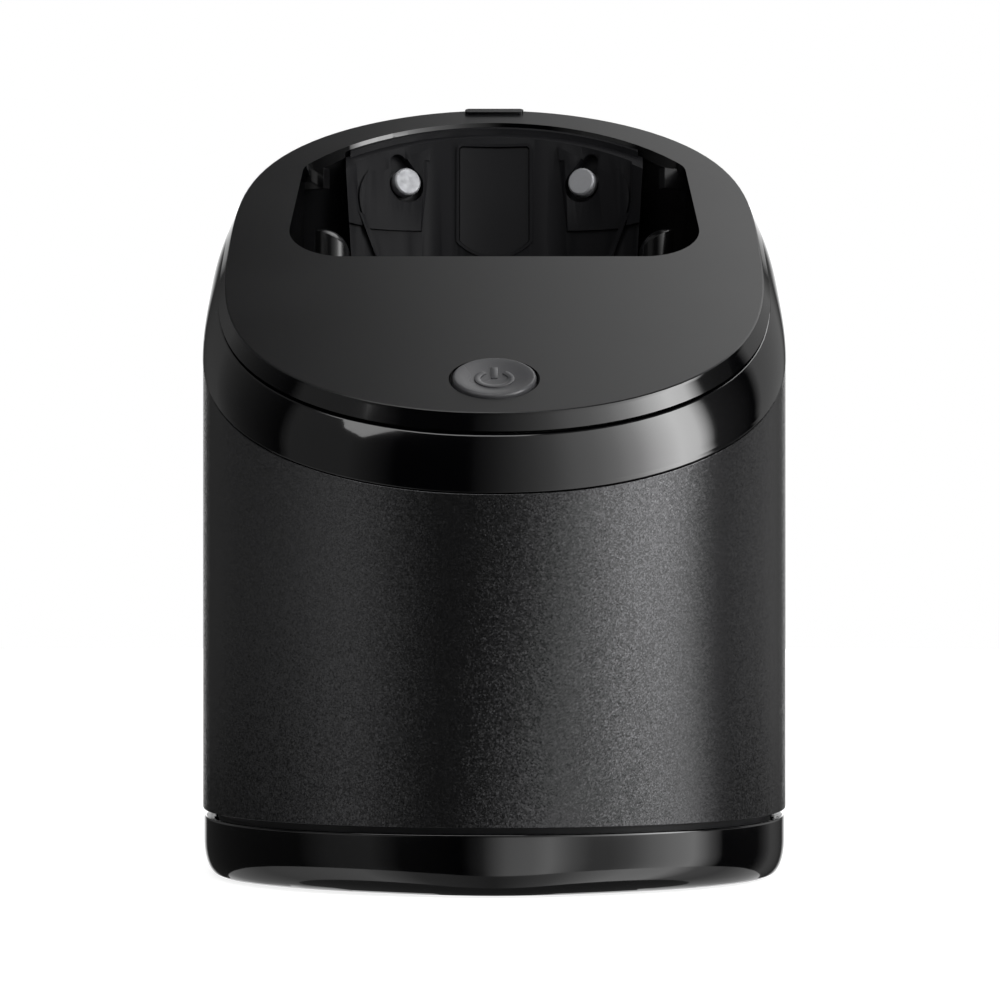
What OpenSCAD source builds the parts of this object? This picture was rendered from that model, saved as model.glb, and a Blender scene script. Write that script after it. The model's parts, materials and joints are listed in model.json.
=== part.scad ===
// Cleaning and charging station for an electric shaver.
// Origin: centre of the footprint, on the surface that the rubber feet stand on.
// +Z is up and the front faces -Y. All sizes are in millimetres.

/* [Housing] */
// Width of the housing
body_w = 120; // [116:1:124]
// Depth of the housing, front to back
body_d = 139; // [136:1:142]
// Slope of the top, rising to the back, in degrees
slope = 29.4; // [28:0.1:31]
// Height of the joint between shell and collar, over the origin
shell_top = 115.55; // [115:0.05:116.5]
// Height of the collar, measured upright
collar_h = 9.65; // [9:0.05:10.5]
// Open groove between collar and cap
groove = 0.7; // [0.5:0.1:1]
// Height of the top cap, measured upright
cap_h = 3; // [2.8:0.1:3.2]
// Wall of the shell
wall = 2.4; // [2:0.1:2.8]

/* [Base] */
// Top of the glossy base band
band_top = 12.15; // [12:0.05:12.6]
// Recess between the band and the shell
base_gap = 1.25; // [1:0.05:1.5]
// Height that the rubber feet stand out of the base
foot_h = 0.3; // [0.2:0.1:0.6]
// Height of the cartridge tank
tank_h = 40; // [36:1:40]

/* [Controls] */
// Diameter of the start button
button_d = 16.3; // [16:0.1:16.6]
// Height that the start button stands out of the cap
button_proud = 0.6; // [0.5:0.1:0.8]
// Travel of the start button
button_travel = 0.8; // [0.5:0.1:1]
// Diameter of the charging contacts
contact_d = 6.3; // [6:0.1:6.3]
// Travel of the charging contacts
contact_travel = 1.2; // [1:0.1:1.2]
// Travel of the release button
release_travel = 2.5; // [2:0.1:2.5]

/* [Lift] */
// Turns of a lifting spring
spring_turns = 9; // [8:1:9]
// Wire of a lifting spring
spring_wire = 0.95; // [0.9:0.05:1]

/* [Hidden] */

// Points of a plan outline, and facets of a round part
n_plan = 120;
$fn = 48;

// Plan outline: squareness at the sides, the front and the rear
side_power = 2.8;
front_power = 2.26;
rear_power = 2.13;
half_w = body_w / 2;
half_d = body_d / 2;
rise = tan(slope);

// Heights, over the origin, of the slanted joints
shell_bottom = band_top + base_gap;
collar_top = shell_top + collar_h;
cap_bottom = collar_top + groove;
cap_top = cap_bottom + cap_h;
plate_t = 2.75;
plate_bottom = cap_top - plate_t;

// How far the collar and the cap draw in, at the sides and at the ends
collar_proud = 0.15;
collar_gap = 0.25;
collar_side_in = 3;
collar_end_in = 1.9;
collar_shift = 1;
cap_side_in = 4.65;
cap_end_in = 3.55;
cap_shift = 0.65;
rear_lip_y = 65.4;
rear_lip_h = 0.65;

// Receptacle opening: straight front edge, two corner arcs a side and one back arc
open_front = -3.4;
open_corner = [31.5, 8.6, 12];
open_back_centre = 9.2;
open_back_r = 51;
open_upper_r = 6;
open_upper_angle = 36.4;
open_side_angle = 2.7;

// Start button, on the sloping cap
button_y = -53;
button_gap = 0.7;
switch_drop = 9.4;

// Base
band_in = 0.2;
edge_top = 7;
edge_side_in = 2.5;
edge_end_in = 2.4;
edge_powers = [2.9, 1.8, 1.8];
ring_wall_in = 2.9;
ring_heel_in = 5;
foot_seat = 0.8;
heel_top = 3.4;
tray_floor = 4;
tray_bottom = 0.9;
lip_top = 16.6;
lip_in = 3.15;
lip_wall = 1.8;

// Cartridge
tank_bottom = tray_floor + 0.7;
tank_top = tank_bottom + tank_h;
tank_half_w = 47;
tank_back = 39.5;
tank_in = 7.2;
tank_wall = 1.8;
lid_h = 2;

// Guide posts, their bushes and the lifting springs
post_x = 31;
post_y = 49.5;
post_r = 3;
post_top = 76;
bush_r = 5;
bush_bottom = 19;
bush_bore = post_r + 0.06;
spring_r = 4.6;
spring_foot = tray_floor + 0.15;
spring_h = bush_bottom - 0.15 - spring_foot;
release_wire = 0.5;
release_turns = 3;
release_spring_r = 1.9;
release_spring_h = 3.4;

// Chassis deck
deck_z = 57.5;
deck_t = 2.5;
deck_in = wall + 0.2;
boss_x = 54.4;
boss_y = 17;

// Pump, motor and water paths
pump_x = -27;
pump_y = -33;
motor_r = 12;
motor_z = deck_z + 4.5;
motor_h = 25;
pump_r = 15;
pump_h = 8.5;
pump_z = deck_z - pump_h - 0.1;
suction_r = 4;
suction_end = 10;
delivery_x = -9;
delivery_y = -20;
delivery_r = 3;
delivery_z = 86;
hose_foot = pump_z + 2.1;
hose_bend = 7;
arm_angle = atan2(delivery_y - pump_y, delivery_x - pump_x);
arm_l = norm([delivery_x - pump_x, delivery_y - pump_y]);
hose_reach = 11.6;
drain_y = 22;
drain_r = 6;
drain_end = 38;

// Wash bowl
basin_z = 76;
basin_top = 94;
basin_half_w = 34;
basin_half_d = 20.5;
bowl_wall = 1.8;
bowl_back = 50.3;
bowl_back_half_w = 31;

// Guide posts in the well: round, with a dome that falls off towards the middle
lobe_x = 35.2;
lobe_y = 26;
lobe_r = 3.7;
lobe_top = 135.4;
dome_r = 6;
dome_shift = 2.2;
hook_top = 149.8;

// Cradle: its face leans back, and its local frame has u up the face
lean = 12;
face_y = 54.9;
face_z = 145;
cradle_half_w = 33.2;
cradle_r = 50;
cradle_taper = 0.07;
cradle_t = 3.2;
cradle_back = 47.6;
pocket_depth = 1.8;
contact_x = 20;
contact_u = 2.3;
flute_x = 14;
flute_top = 8;
flute_r = 3.9;
flute_tilt = 1.8;
inlay_half_w = 7.85;
inlay_top = 12.1;
contact_head = 0.9;
stem_r = contact_d / 2 - 0.7;
barrel_r = stem_r + 1;
barrel_front = 2.25;
barrel_l = 3;
contact_board_depth = 6.05;

// Release button, its slider and the catch
release_z = 140;
release_half_w = 9;
release_r = 6.5;
slider_y = 62.7;
slider_t = 1.5;
slider_foot = release_z - 16;
leg_x = 15.8;
leg_w = 5.4;
leg_y = 54.2;
leg_jog = 106;
hook_z = 48;
catch_y = 57.6;
catch_t = 1.6;
catch_screw_y = 53;
release_spring_x = 6;

// Power inlet
inlet_z = 27;
inlet_half_w = 8;
inlet_h = 11;
inlet_depth = 9;

// ---------- shared shapes ----------

// One point of a plan outline with half sizes a and b, moved by c along Y, in the direction of
// angle f; q holds the squareness at the sides, the front and the rear
function plan_point(a, b, c, f, q) =
    let (n = q[0] + (q[sin(f) < 0 ? 1 : 2] - q[0]) * pow(sin(f), 2),
        r = pow(pow(abs(cos(f)) / a, n) + pow(abs(sin(f)) / b, n), -1 / n))
    [r * cos(f), c + r * sin(f)];

function plan_points(a, b, c, q = [side_power, front_power, rear_power]) =
    [for (i = [0:n_plan - 1]) plan_point(a, b, c, i * 360 / n_plan, q)];

function arc(x, y, r, from, to, steps) =
    [for (i = [0:steps]) let (f = from + (to - from) * i / steps) [x + r * cos(f), y + r * sin(f)]];

// Right half of the receptacle outline, then the whole; grow makes it larger
function open_half(grow) =
    let (reach = open_back_r - open_upper_r)
    concat(arc(open_corner[0], open_corner[1], open_corner[2] + grow, -90, open_side_angle, 12),
        arc(reach * cos(open_upper_angle), open_back_centre + reach * sin(open_upper_angle),
            open_upper_r + grow, open_side_angle, open_upper_angle, 5),
        arc(0, open_back_centre, open_back_r + grow, open_upper_angle + 2, 88, 12));
function open_points(grow) =
    let (half = open_half(grow), n = len(half))
    concat(half, [[0, open_back_centre + open_back_r + grow]],
        [for (i = [n - 1:-1:0]) [-half[i][0], half[i][1]]]);

module plan(inset) polygon(plan_points(half_w - inset, half_d - inset, 0));

module receptacle(grow) polygon(open_points(grow));

// Outline of the rounded underside, which is a little less square
module base_plan(inset) polygon(plan_points(half_w - inset, half_d - inset, 0, edge_powers));

// Tube whose section is a closed chain of rings. A ring is
// [half width, half depth, shift, height, rise], and may add its own squareness
function ring_points(k) = len(k) > 5 ? plan_points(k[0], k[1], k[2], k[5])
    : plan_points(k[0], k[1], k[2]);

module ring_loft(rings) {
    m = len(rings);
    points = [for (k = rings) for (p = ring_points(k)) [p[0], p[1], k[3] + k[4] * p[1]]];
    faces = [for (k = [0:m - 1]) for (i = [0:n_plan - 1])
        let (a = k * n_plan, b = (k + 1) % m * n_plan, j = (i + 1) % n_plan)
        for (t = [[a + i, b + i, b + j], [a + i, b + j, a + j]]) t];
    polyhedron(points = points, faces = faces, convexity = 8);
}

// Everything over the slanted plane that stands at height z over the origin
module over(z) translate([0, 0, z]) rotate([slope, 0, 0]) translate([-90, -110, 0]) cube([180, 220, 140]);

module under(z) translate([0, 0, z]) rotate([slope, 0, 0]) translate([-90, -110, -200])
    cube([180, 220, 200]);

// Local frame on the sloping cap, over the plan point (0, y)
module on_slope(y, z) translate([0, y, z + y * rise]) rotate([slope, 0, 0]) children();

// Local frame on the cradle's face: X across, Y up the face, Z out of it
module on_face() translate([0, face_y, face_z]) rotate([90 - lean, 0, 0]) children();

// Local frame on the hollow of the cradle, a distance x from its middle and u up, Z towards its axis
module on_hollow(x, u) on_face() translate([0, u, cradle_r]) rotate([0, -asin(x / cradle_r), 0])
    translate([0, 0, -cradle_r]) children();

// Local frame of a charging contact; side is -1 or 1
module on_contact(side) on_hollow(side * contact_x, contact_u) children();

module tube(r, bore, h) difference() {
    cylinder(r = r, h = h);
    translate([0, 0, -1]) cylinder(r = bore, h = h + 2);
}

module screw(length) {
    cylinder(r = 2.6, h = 1.8);
    translate([0, 0, -length]) cylinder(r = 1.3, h = length + 0.1);
}

module small_screw(length) {
    cylinder(r = 2.1, h = 1.4);
    translate([0, 0, -length]) cylinder(r = 1.05, h = length + 0.1);
}

// Flat pill, its two half discs 2 * half apart
module pill(half, r) {
    for (side = [-1, 1]) translate([side * half, 0]) circle(r = r);
    square([2 * half, 2 * r], center = true);
}

module mirrored() for (side = [-1, 1]) scale_x(side) children();

module scale_x(side) mirror([side < 0 ? 1 : 0, 0, 0]) children();

// ---------- base ----------

// Rings of the rounded lower edge of the band, from its top to the underside
function edge_ring(t) = let (c = 1 - cos(90 * t), q = [side_power, front_power, rear_power])
    [half_w - band_in - edge_side_in * c, half_d - band_in - edge_end_in * c, 0,
        edge_top - (edge_top - foot_h) * sin(90 * t), 0, q + (edge_powers - q) * c];

// Upright or level rings of the band, each [inset, height]
function band_ring(k) = [half_w - k[0], half_d - k[0], 0, k[1], 0];
function heel_ring(z) = [half_w - ring_heel_in, half_d - ring_heel_in, 0, z, 0, edge_powers];

module base_ring() color("black") ring_loft(concat(
    [for (i = [8:-1:0]) edge_ring(i / 8)],
    [for (k = [[band_in, band_top - 0.35], [band_in + 0.1, band_top - 0.1], [band_in + 0.35, band_top],
        [ring_wall_in, band_top], [ring_wall_in, heel_top]]) band_ring(k)],
    [heel_ring(heel_top), heel_ring(foot_h)]));

module base_tray() color("dimgray") difference() {
    union() {
        // Step that drops inside the band's heel, and the floor that rests on the heel
        translate([0, 0, tray_bottom]) linear_extrude(heel_top - tray_bottom + 0.1)
            base_plan(ring_heel_in + 0.1);
        translate([0, 0, heel_top]) linear_extrude(tray_floor - heel_top) plan(lip_in);
        // Upright lip behind the band, which closes the dark recess
        translate([0, 0, heel_top]) linear_extrude(lip_top - heel_top) difference() {
            plan(lip_in);
            plan(lip_in + lip_wall);
        }
        // Runners that the cartridge stands on
        for (x = [-30, 0, 30]) translate([x - 1.2, -50, tray_floor - 0.5]) cube([2.4, 84, 1.1]);
        // Side guides for the cartridge
        mirrored() translate([tank_half_w + 0.5, -24, tray_floor - 0.5]) cube([1.6, 52, 10]);
        // Rear bridge behind the cartridge
        translate([-24, tank_back + 1.2, tray_floor - 0.5]) cube([48, 1.8, 16]);
    }
    mirrored() translate([post_x, post_y, tray_bottom - 1]) cylinder(r = 1.4, h = 6);
    for (p = foot_places()) translate([p[0], p[1], tray_bottom - 1]) cylinder(r = 6.1, h = 1 + foot_seat);
    for (x = [-2.5, 2.5]) translate([leg_x + x, catch_screw_y, tray_bottom - 1]) cylinder(r = 1.4, h = 6);
}

function foot_places() = [[-34, -40], [34, -40], [-34, 36], [34, 36]];

module rubber_feet() color([0.12, 0.12, 0.12]) for (p = foot_places()) translate([p[0], p[1], 0]) {
    cylinder(r1 = 5.4, r2 = 5.8, h = tray_bottom);
    translate([0, 0, tray_bottom]) cylinder(r = 6, h = foot_seat);
}

// Upright bracket behind the cartridge, with the window that the latch hook enters
module catch_bracket() color("silver") difference() {
    union() {
        translate([leg_x - 6, catch_y - 8, tray_floor]) cube([12, 8 + catch_t, 1.6]);
        translate([leg_x - 6, catch_y, tray_floor]) cube([12, catch_t, hook_z + 7 - tray_floor]);
        for (x = [-6, 4.4]) translate([leg_x + x, catch_y - 6, tray_floor]) cube([1.6, 7, 22]);
    }
    translate([leg_x - 3.5, catch_y - 1, hook_z - 2]) cube([7, 4, 5]);
    for (x = [-2.5, 2.5]) translate([leg_x + x, catch_screw_y, tray_floor - 1]) cylinder(r = 1.35, h = 4);
}

module guide_post(side) color("silver") translate([side * post_x, post_y, tray_floor]) difference() {
    union() {
        cylinder(r = post_r, h = post_top - tray_floor - 1);
        translate([0, 0, post_top - tray_floor - 1]) cylinder(r1 = post_r, r2 = post_r - 0.8, h = 1);
    }
    translate([0, 0, -1]) cylinder(r = 1.32, h = 9);
}
module guide_post_left() guide_post(-1);
module guide_post_right() guide_post(1);

// Coil spring on +Z: mean radius r, wire w, height h, a number of turns, 8 rings a turn
function coil_centre(r, w, h, turns, t)
    = [r * cos(t * turns * 360), r * sin(t * turns * 360), w / 2 + (h - w) * t];

module coil(r, w, h, turns) {
    steps = turns * 8;
    points = [for (k = [0:steps]) let (c = coil_centre(r, w, h, turns, k / steps), f = k * 45)
        for (i = [0:5]) let (g = i * 60)
            [c[0] + w / 2 * cos(g) * cos(f), c[1] + w / 2 * cos(g) * sin(f), c[2] + w / 2 * sin(g)]];
    sides = [for (k = [0:steps - 1]) for (i = [0:5]) let (a = k * 6 + i, b = k * 6 + (i + 1) % 6)
        for (t = [[a, b + 6, a + 6], [a, b, b + 6]]) t];
    last = steps * 6;
    ends = concat([for (i = [1:4]) [0, i + 1, i]], [for (i = [1:4]) [last, last + i, last + i + 1]]);
    polyhedron(points = points, faces = concat(sides, ends), convexity = 10);
}
echo(least_lift_spring_gap = (spring_h - spring_wire) / spring_turns - spring_wire);
echo(least_release_spring_gap = (release_spring_h - release_wire) / release_turns - release_wire);

module lift_spring(side) color("gray") translate([side * post_x, post_y, spring_foot])
    coil(spring_r, spring_wire, spring_h, spring_turns);
module lift_spring_left() lift_spring(-1);
module lift_spring_right() lift_spring(1);

// Plan of the cartridge: the housing's curve at the front, straight sides and back
module tank_plan(inset) intersection() {
    plan(tank_in + inset);
    translate([-tank_half_w + inset, -80]) square([2 * (tank_half_w - inset), 80 + tank_back - inset]);
}

module cartridge_tank() color("midnightblue") difference() {
    translate([0, 0, tank_bottom]) linear_extrude(tank_h) tank_plan(0);
    translate([0, 0, tank_bottom + tank_wall]) linear_extrude(tank_h) tank_plan(tank_wall);
}

module cartridge_lid() color("black") difference() {
    union() {
        translate([0, 0, tank_top]) linear_extrude(lid_h) tank_plan(-0.6);
        translate([0, 0, tank_top - 3]) linear_extrude(3.2) difference() {
            tank_plan(tank_wall + 0.1);
            tank_plan(tank_wall + 1.5);
        }
        translate([pump_x, pump_y, tank_top + lid_h - 0.5]) tube(8.6, 6.6, 1.7);
        translate([0, drain_y, tank_top + lid_h - 0.5]) tube(13.6, 11.4, 1.5);
    }
    translate([pump_x, pump_y, tank_top - 4]) cylinder(r = 6.6, h = 8);
    translate([0, drain_y, tank_top - 4]) cylinder(r = 11.4, h = 8);
    // Finger grip along the front edge
    for (x = [-14, 14]) translate([x, -57, tank_top + 1.2]) linear_extrude(2) pill(6, 2);
}

// Basket under the return opening, which holds back hairs
module cartridge_filter() color("dimgray") translate([0, drain_y, tank_top - 9]) {
    difference() {
        cylinder(r = 11.2, h = 10.6);
        translate([0, 0, 1.4]) cylinder(r = 9.9, h = 12);
        for (f = [0:30:330]) rotate(f) translate([6.9, 0, -1]) cylinder(r = 0.9, h = 4);
        for (f = [0:60:300]) rotate(f) translate([3.5, 0, -1]) cylinder(r = 0.9, h = 4);
    }
}

module base_screws() color("silver") {
    mirrored() translate([post_x, post_y, tray_bottom - 0.05]) cylinder(r = 1.3, h = 8);
    for (x = [-2.5, 2.5]) translate([leg_x + x, catch_screw_y, tray_bottom - 0.05])
        cylinder(r = 1.3, h = 5);
}

// ---------- housing ----------

module outer_shell() color([0.16, 0.16, 0.17]) difference() {
    union() {
        difference() {
            translate([0, 0, shell_bottom]) linear_extrude(160) plan(0);
            translate([0, 0, shell_bottom - 1]) linear_extrude(170) plan(wall);
        }
        // Bosses that the chassis is screwed to
        for (x = [-1, 1]) for (y = [-1, 1]) difference() {
            translate([x * boss_x, y * boss_y, deck_z - 14]) cylinder(r = 3.8, h = 13.9);
            translate([x * boss_x, y * boss_y, deck_z - 12]) cylinder(r = 1.32, h = 13);
        }
    }
    over(shell_top);
    // Opening for the release button
    translate([0, half_d - 8, release_z]) rotate([-90, 0, 0]) linear_extrude(12)
        pill(release_half_w, release_r + 0.3);
    // Opening for the power inlet
    translate([-inlet_half_w - 1.3, half_d - 8, inlet_z - inlet_h / 2 - 1.3])
        cube([2 * inlet_half_w + 2.6, 12, inlet_h + 2.6]);
}

// Rings of the collar's bulging outside, from its foot to its top
function collar_ring(t) = let (s = pow(t, 1.8))
    [half_w + collar_proud - (collar_side_in + collar_proud) * s,
        half_d + collar_proud - (collar_end_in + collar_proud) * s, collar_shift * t,
        shell_top + collar_gap + (collar_h - collar_gap) * t, rise];

module collar() color("black") ring_loft(concat(
    [[half_w - wall - 0.1, half_d - wall - 0.1, 0, shell_top - 4, rise],
        [half_w - wall - 0.1, half_d - wall - 0.1, 0, shell_top + collar_gap, rise]],
    [for (i = [0:10]) collar_ring(i / 10)],
    [[half_w - 5.2, half_d - 4.2, collar_shift, collar_top, rise],
        [half_w - wall - 1.7, half_d - wall - 1.7, 0, shell_top - 4, rise]]));

cap_ring_a = half_w - collar_side_in;
cap_ring_b = half_d - collar_end_in;
cap_top_a = half_w - cap_side_in;
cap_top_b = half_d - cap_end_in;

module top_cap() color([0.22, 0.22, 0.23]) difference() {
    union() {
        ring_loft([[half_w - 5.5, half_d - 5.6, 0.4, cap_bottom - 2.5, rise],
            [half_w - 5.5, half_d - 4.6, 1, cap_bottom, rise],
            [cap_ring_a, cap_ring_b, collar_shift, cap_bottom, rise],
            [cap_top_a + 0.5, cap_top_b + 0.25, cap_shift, cap_top - 0.55, rise],
            [cap_top_a + 0.3, cap_top_b + 0.15, cap_shift, cap_top - 0.15, rise],
            [cap_top_a, cap_top_b, cap_shift, cap_top, rise],
            [34, 24, 30, cap_top, rise],
            [34, 24, 30, plate_bottom, rise],
            [half_w - 7.2, half_d - 6.6, 1, plate_bottom, rise],
            [half_w - 7.2, half_d - 7.4, 0.4, cap_bottom - 2.5, rise]]);
        // Low lip on the rear rim
        on_slope(rear_lip_y, cap_top) translate([0, 0, -1]) linear_extrude(1 + rear_lip_h) pill(5.7, 1);
    }
    translate([0, 0, 90]) linear_extrude(100) receptacle(0);
    on_slope(button_y, cap_top) translate([0, 0, -6]) cylinder(r = button_d / 2 + button_gap, h = 8);
}

module inner_chassis() color("dimgray") difference() {
    union() {
        translate([0, 0, deck_z]) linear_extrude(deck_t) plan(deck_in);
        // Wall that stiffens the deck
        translate([0, 0, deck_z + deck_t - 0.2]) linear_extrude(7) difference() {
            plan(deck_in + 0.6);
            plan(deck_in + 2.2);
        }
        // Cup that holds the motor
        translate([pump_x, pump_y, deck_z + deck_t - 0.2]) cylinder(r = motor_r + 3.4, h = 12);
        // Columns under the wash bowl
        mirrored() for (y = [8, 36]) translate([24, y, deck_z + deck_t - 0.2])
            cylinder(r = 3.2, h = basin_z - bowl_wall - deck_z - deck_t + 0.15);
        // Posts under the main circuit board
        for (p = board_places()) translate([p[0], p[1], deck_z + deck_t - 0.2])
            cylinder(r = 2.8, h = board_lift + 0.2);
        // Columns under the start board, cut to its slope
        mirrored() difference() {
            translate([8.5, button_y, deck_z + deck_t - 0.2]) cylinder(r = 3.6, h = 40);
            over(start_board_plane);
        }
    }
    translate([pump_x, pump_y, deck_z + 2.2]) cylinder(r = motor_r + 1.5, h = 20);
    translate([pump_x, pump_y, deck_z - 1]) cylinder(r = 3.2, h = 6);
    mirrored() translate([post_x, post_y, deck_z - 1]) cylinder(r = bush_r + 0.05, h = 12);
    mirrored() translate([post_x, post_y, deck_z + deck_t]) cylinder(r = bush_r + 1.9, h = 12);
    translate([0, drain_y, deck_z - 1]) cylinder(r = drain_r + 1.9, h = 6);
    translate([delivery_x, delivery_y, deck_z - 1]) cylinder(r = delivery_r + 0.3, h = 6);
    // Slot for the latch leg
    translate([leg_x - leg_w / 2 - 1, leg_y - release_travel - 1, deck_z - 1])
        cube([leg_w + 2, catch_y - leg_y + release_travel + 2, 12]);
    for (x = [-1, 1]) for (y = [-1, 1]) translate([x * boss_x, y * boss_y, deck_z - 1])
        cylinder(r = 1.6, h = 6);
    for (x = [-1, 1]) for (y = [-1, 1]) translate([x * boss_x, y * boss_y, deck_z + deck_t])
        cylinder(r = 3.4, h = 12);
    for (p = board_places()) translate([p[0], p[1], deck_z + deck_t - 1]) cylinder(r = 1.07, h = 12);
    // Screw holes square to the start board
    mirrored() on_slope(button_y, start_board_plane) translate([8.5, 0, -4]) cylinder(r = 1.07, h = 8);
}

module guide_bush(side) color("ivory") translate([side * post_x, post_y, bush_bottom]) {
    tube(bush_r, bush_bore, deck_z + deck_t + 3 - bush_bottom);
    translate([0, 0, deck_z + deck_t + 0.05 - bush_bottom]) tube(bush_r + 1.6, bush_bore, 1.6);
}
module guide_bush_left() guide_bush(-1);
module guide_bush_right() guide_bush(1);

// Plan of the washing basin
module basin(grow) polygon(plan_points(basin_half_w + grow, basin_half_d + grow, drain_y));

// Walls of the bowl, before its openings are cut
module bowl_wall_blank() {
    // Upper well, under the edge of the receptacle
    translate([0, 0, basin_top]) linear_extrude(90) receptacle(0.4 + bowl_wall);
    translate([0, 0, basin_z - bowl_wall]) linear_extrude(basin_top + bowl_wall - basin_z + 0.2)
        basin(bowl_wall);
    // Nipple for the delivery hose
    translate([delivery_x, -6.5, delivery_z]) rotate([-90, 0, 0]) cylinder(r = delivery_r + 1.4, h = 9);
}

module wash_bowl() color([0.08, 0.08, 0.08]) {
    difference() {
        bowl_wall_blank();
        over(plate_bottom - 0.15);
        translate([0, 0, basin_top + bowl_wall]) linear_extrude(90) receptacle(0.4);
        // The rear is left open behind the cradle
        translate([-bowl_back_half_w, bowl_back, 80]) cube([2 * bowl_back_half_w, 30, 100]);
        translate([0, 0, basin_z]) linear_extrude(basin_top - basin_z + 10) basin(0);
        translate([0, drain_y, basin_z - bowl_wall - 1]) cylinder(r = 4.5, h = 6);
        // Inlet for the fluid that the pump delivers
        translate([delivery_x, -8, delivery_z]) rotate([-90, 0, 0])
            cylinder(r = delivery_r + 0.05, h = 7);
        translate([delivery_x, -8, delivery_z]) rotate([-90, 0, 0])
            cylinder(r = delivery_r - 0.9, h = 20);
    }
    // Guide posts at both ends of the well, and a web that ties each to the side wall
    mirrored() {
        intersection() {
            translate([lobe_x, lobe_y, basin_top + 0.5]) cylinder(r = lobe_r, h = lobe_top - basin_top);
            union() {
                translate([lobe_x - 8, lobe_y - 8, basin_top])
                    cube([16, 16, lobe_top - dome_r - basin_top]);
                translate([lobe_x + dome_shift, lobe_y, lobe_top - dome_r]) sphere(r = dome_r);
            }
        }
        translate([lobe_x, lobe_y - 0.9, basin_top + 0.5]) cube([44.3 - lobe_x, 1.8, 30]);
        // Small hook that holds the bowl to the edge of the cap
        translate([37.6, 35.8, hook_top - 4.4]) rotate([0, 0, 37]) {
            cube([6.5, 2, 1.6]);
            cube([3.6, 2, 4.4]);
        }
    }
}

module bowl_seal() color([0.1, 0.1, 0.1]) difference() {
    translate([0, 0, 90]) linear_extrude(90) receptacle(0.4 + bowl_wall + 1.6);
    translate([0, 0, 80]) linear_extrude(110) receptacle(0.4 + bowl_wall + 0.1);
    over(plate_bottom - 0.1);
    under(plate_bottom - 2.2);
    translate([-90, bowl_back - 4, 0]) cube([180, 60, 220]);
}

// Window round a charging contact: a round hole and a wider slot over its outer half
module keyhole() {
    translate([0, -0.45]) circle(r = 4.15);
    polygon([[-4, 0.8], [-2.9, 2.1], [-0.1, 5.6], [3.6, 4.4], [3.8, 1.5]]);
    translate([1.75, 4.6]) circle(r = 1.95);
}

// Wall that follows the hollow of the cradle: front and back over and under its surface
module hollow_wall(front, back) on_face() translate([0, -54, cradle_r]) rotate([-90, 0, 0]) difference() {
    cylinder(r = cradle_r + back, h = 80, $fn = 120);
    translate([0, 0, -1]) cylinder(r = cradle_r - front, h = 82, $fn = 120);
}

// Block that reaches through the cradle's wall over an outline drawn on its face
module through_face() on_face() translate([0, 0, -cradle_t - 4]) linear_extrude(cradle_t + 24) children();

// Outline of the cradle on its face, a little narrower towards the bottom
module cradle_plan(inset = 0) {
    low = cradle_half_w - cradle_taper * 54 - inset;
    high = cradle_half_w + cradle_taper * 18 - inset;
    polygon([[-low, -54], [low, -54], [high, 26], [-high, 26]]);
}

module cradle() color([0.13, 0.13, 0.13]) {
    cradle_body();
    cradle_lip();
}

module cradle_body() difference() {
    union() {
        intersection() {
            hollow_wall(0, cradle_t);
            through_face() cradle_plan();
        }
        // Cheeks that turn back to the wall of the bowl
        mirrored() difference() {
            intersection() {
                on_face() translate([cradle_half_w - 8, -54, -4]) cube([8, 80, 16]);
                through_face() difference() {
                    cradle_plan();
                    cradle_plan(2);
                }
            }
            on_face() translate([0, -55, cradle_r]) rotate([-90, 0, 0])
                cylinder(r = cradle_r + 0.5, h = 82, $fn = 120);
            translate([0, cradle_back, 80]) cube([60, 60, 100]);
        }
        // Raised panels round the contacts
        intersection() {
            hollow_wall(0.6, 0.5);
            through_face() mirrored() panel_plan();
        }
        // Wings at both edges, which stand further out
        intersection() {
            hollow_wall(0.9, 0.5);
            through_face() intersection() {
                cradle_plan();
                mirrored() polygon([[31.2, 18], [30.6, 1], [30.4, -4], [29.3, -9.6],
                    [36, -9.6], [36, 18]]);
            }
        }
        // Guide ribs that lead on from the panels
        intersection() {
            hollow_wall(1.1, 0.5);
            through_face() mirrored() polygon([[28.9, -7], [30.1, -6.6], [23.3, -24], [22, -23.6]]);
        }
        // Rim round the inlay plate
        intersection() {
            hollow_wall(0.35, 0.5);
            through_face() inlay_plan(0.75);
        }
        // Seats of the release springs
        for (x = [-release_spring_x, release_spring_x]) translate([x, 53.6, slider_foot + 5])
            rotate([-90, 0, 0])
            cylinder(r = 2.8, h = slider_y - release_travel - release_spring_h - 53.7);
    }
    // Top edge: close under the cap, and a little higher inside its opening
    over(plate_bottom + 0.5);
    difference() {
        over(plate_bottom - 0.15);
        translate([0, 0, 90]) linear_extrude(100) receptacle(-0.15);
    }
    translate([-90, -100, 0]) cube([180, 220, basin_top + bowl_wall + 0.1]);
    intersection() {
        hollow_wall(3, 0.9);
        through_face() inlay_plan(0.1);
    }
    // Pockets of the contacts, and the holes of their barrels
    for (side = [-1, 1]) on_contact(side) translate([0, 0, -pocket_depth]) linear_extrude(6)
        scale_x(side) keyhole();
    for (side = [-1, 1]) on_contact(side) translate([0, 0, -12]) cylinder(r = barrel_r + 0.02, h = 12);
    // Flutes beside the inlay plate, which grow deeper downwards
    for (side = [-1, 1]) on_hollow(side * flute_x, flute_top) translate([0, 0, flute_r])
        rotate([90 + flute_tilt, 0, 0])
        cylinder(r = flute_r, h = 60);
}

// Lip that lines the rear edge of the cap's opening, on top of the cradle
module cradle_lip() difference() {
    translate([-32.2, 30, 120]) cube([64.4, 40, 60]);
    translate([0, 0, 110]) linear_extrude(80) receptacle(-0.95);
    difference() {
        translate([-90, -90, 110]) cube([180, 220, 80]);
        translate([0, 0, 100]) linear_extrude(100) receptacle(-0.15);
    }
    over(cap_top - 0.9);
    under(plate_bottom - 0.6);
}

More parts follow.
